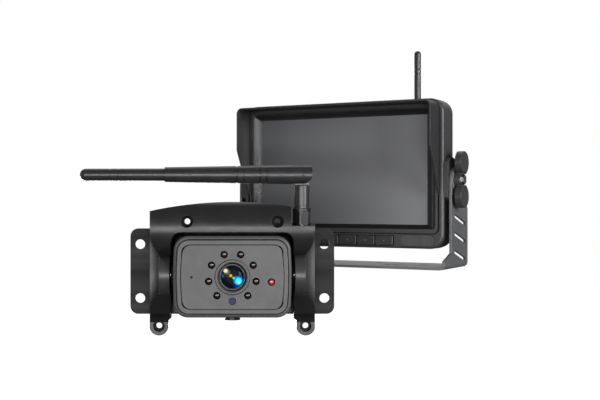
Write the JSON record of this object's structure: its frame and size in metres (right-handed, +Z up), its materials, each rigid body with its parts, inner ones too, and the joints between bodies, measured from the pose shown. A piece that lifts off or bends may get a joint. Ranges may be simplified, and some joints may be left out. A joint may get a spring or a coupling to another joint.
{
  "type": "backup camera kit",
  "caption": "Wireless rear-view camera with hood, tilting lens module and folding antenna, plus a hooded flat cab monitor on a U bracket with a clamping knob.",
  "frame": {"origin": "centre of the camera's adapter plate, on the back face that lies on the vehicle's wall", "axes": "+X to the right as seen from in front of the lens, +Y into the wall, +Z up; the lens looks along -Y"},
  "size_m": [0.3074, 0.2445, 0.2292],
  "materials": {
    "plate_steel": "brushed, dark powder-stained",
    "zinc_screw": "satin zinc",
    "housing_plastic": "satin moulded black",
    "seal_rubber": "soft",
    "pivot_plastic": "satin",
    "circuit_board": "solder mask",
    "brass_jack": "turned",
    "nut_plastic": "satin",
    "module_plastic": "fine spark-eroded grain",
    "face_plastic": "fine grain",
    "lens_trim": "satin black",
    "lens_glass": "coated",
    "ir_led": "dark tinted epoxy",
    "sensor_blue": "tinted epoxy",
    "status_red": "tinted epoxy",
    "antenna_rubber": "satin moulded",
    "antenna_metal": "plain",
    "bracket_paint": "satin grey powder coat",
    "washer_nylon": "natural",
    "case_plastic": "fine leather grain",
    "screen_panel": "dark",
    "screen_cover": "semi-gloss",
    "remote_window": "smoked",
    "sunshade_plastic": "satin",
    "knob_plastic": "satin",
    "stud_steel": "nickel plated",
    "button_rubber": "satin",
    "socket_plastic": "plain"
  },
  "bodies": {
    "camera_mount": {"adapter_plate": "plate_steel", "plate_screws": "zinc_screw", "housing_base": "housing_plastic", "rear_lid": "housing_plastic", "lid_gasket": "seal_rubber", "housing_hood": "housing_plastic", "hood_screws": "zinc_screw", "pivot_barrel_left": "pivot_plastic", "pivot_barrel_right": "pivot_plastic", "pivot_pins": "zinc_screw", "transmitter_board": "circuit_board", "cable_gland": "nut_plastic", "antenna_jack": "brass_jack", "antenna_nut": "nut_plastic"},
    "camera_module": {"module_shell": "module_plastic", "module_bezel": "face_plastic", "face_plate": "face_plastic", "lens_ring": "face_plastic", "lens_barrel": "lens_trim", "lens_glass": "lens_glass", "ir_leds": "ir_led", "light_sensor": "sensor_blue", "status_led": "status_red", "led_board": "circuit_board", "sensor_board": "circuit_board", "module_screws": "zinc_screw"},
    "antenna_base": {"antenna_knuckle": "antenna_rubber"},
    "antenna_arm": {"elbow_sleeve": "antenna_rubber", "elbow_pin": "antenna_metal", "antenna_sleeve": "antenna_rubber", "antenna_tip": "antenna_rubber", "antenna_radiator": "antenna_metal"},
    "monitor_stand": {"monitor_bracket": "bracket_paint", "bracket_washers": "washer_nylon"},
    "monitor_head": {"front_frame": "case_plastic", "rear_cover": "case_plastic", "lcd_panel": "screen_panel", "screen_cover": "screen_cover", "main_board": "circuit_board", "button_board": "circuit_board", "speaker": "socket_plastic", "remote_window": "remote_window", "rear_screws": "zinc_screw", "knob_inserts": "brass_jack", "power_socket": "socket_plastic", "rear_antenna_socket": "nut_plastic", "pivot_bolt_left": "stud_steel"},
    "sunshade": {"sunshade": "sunshade_plastic"},
    "right_knob": {"knob_right": "knob_plastic", "knob_stud_right": "stud_steel"},
    "rear_antenna_joint": {"rear_antenna_knuckle": "antenna_rubber"},
    "rear_antenna": {"rear_antenna_whip": "antenna_rubber"},
    "push_button_1": {"button_1": "button_rubber"},
    "push_button_2": {"button_2": "button_rubber"},
    "push_button_3": {"button_3": "button_rubber"},
    "push_button_4": {"button_4": "button_rubber"},
    "push_button_5": {"button_5": "button_rubber"},
    "push_button_6": {"button_6": "button_rubber"}
  },
  "joints": [
    {"name": "monitor_unit_aside", "type": "slide", "parent": "camera_mount", "child": "monitor_stand", "axis": [1, 0, 0], "range_m": [0, 0.2]},
    {"name": "camera_tilt", "type": "hinge", "parent": "camera_mount", "child": "camera_module", "pos_m": [0, -0.045, 0.0005], "axis": [1, 0, 0], "range_deg": [-5, 60]},
    {"name": "antenna_swivel", "type": "hinge", "parent": "camera_mount", "child": "antenna_base", "pos_m": [0.05, -0.045, 0.0482], "axis": [0, 0, 1], "range_deg": [0, 180]},
    {"name": "antenna_fold", "type": "hinge", "parent": "antenna_base", "child": "antenna_arm", "pos_m": [0.0506, -0.045, 0.0723], "axis": [0, 1, 0], "range_deg": [0, 90]},
    {"name": "monitor_tilt", "type": "hinge", "parent": "monitor_stand", "child": "monitor_head", "pos_m": [0.0967, 0.10203, 0.0707], "axis": [0.866, -0.5, 0], "range_deg": [-45, 45]},
    {"name": "sunshade_pull", "type": "slide", "parent": "monitor_head", "child": "sunshade", "axis": [-0.5, -0.866, 0], "range_m": [0, 0.03]},
    {"name": "knob_right_turn", "type": "hinge", "parent": "monitor_head", "child": "right_knob", "pos_m": [0.18677, 0.05003, 0.0707], "axis": [0.866, -0.5, 0], "continuous": true},
    {"name": "rear_antenna_swivel", "type": "hinge", "parent": "monitor_head", "child": "rear_antenna_joint", "pos_m": [0.15541, 0.08892, 0.113], "axis": [0.5, 0.866, 0], "range_deg": [-90, 90]},
    {"name": "rear_antenna_fold", "type": "hinge", "parent": "rear_antenna_joint", "child": "rear_antenna", "pos_m": [0.15791, 0.09325, 0.113], "axis": [-0.866, 0.5, 0], "range_deg": [0, 90]},
    {"name": "button_1_press", "type": "slide", "parent": "monitor_head", "child": "push_button_1", "axis": [0.5, 0.866, 0], "range_m": [0, 0.0006], "stiffness_N_per_m": 900, "springref_m": -0.0006},
    {"name": "button_2_press", "type": "slide", "parent": "monitor_head", "child": "push_button_2", "axis": [0.5, 0.866, 0], "range_m": [0, 0.0006], "stiffness_N_per_m": 900, "springref_m": -0.0006},
    {"name": "button_3_press", "type": "slide", "parent": "monitor_head", "child": "push_button_3", "axis": [0.5, 0.866, 0], "range_m": [0, 0.0006], "stiffness_N_per_m": 900, "springref_m": -0.0006},
    {"name": "button_4_press", "type": "slide", "parent": "monitor_head", "child": "push_button_4", "axis": [0.5, 0.866, 0], "range_m": [0, 0.0006], "stiffness_N_per_m": 900, "springref_m": -0.0006},
    {"name": "button_5_press", "type": "slide", "parent": "monitor_head", "child": "push_button_5", "axis": [0.5, 0.866, 0], "range_m": [0, 0.0006], "stiffness_N_per_m": 900, "springref_m": -0.0006},
    {"name": "button_6_press", "type": "slide", "parent": "monitor_head", "child": "push_button_6", "axis": [0.5, 0.866, 0], "range_m": [0, 0.0006], "stiffness_N_per_m": 900, "springref_m": -0.0006}
  ]
}
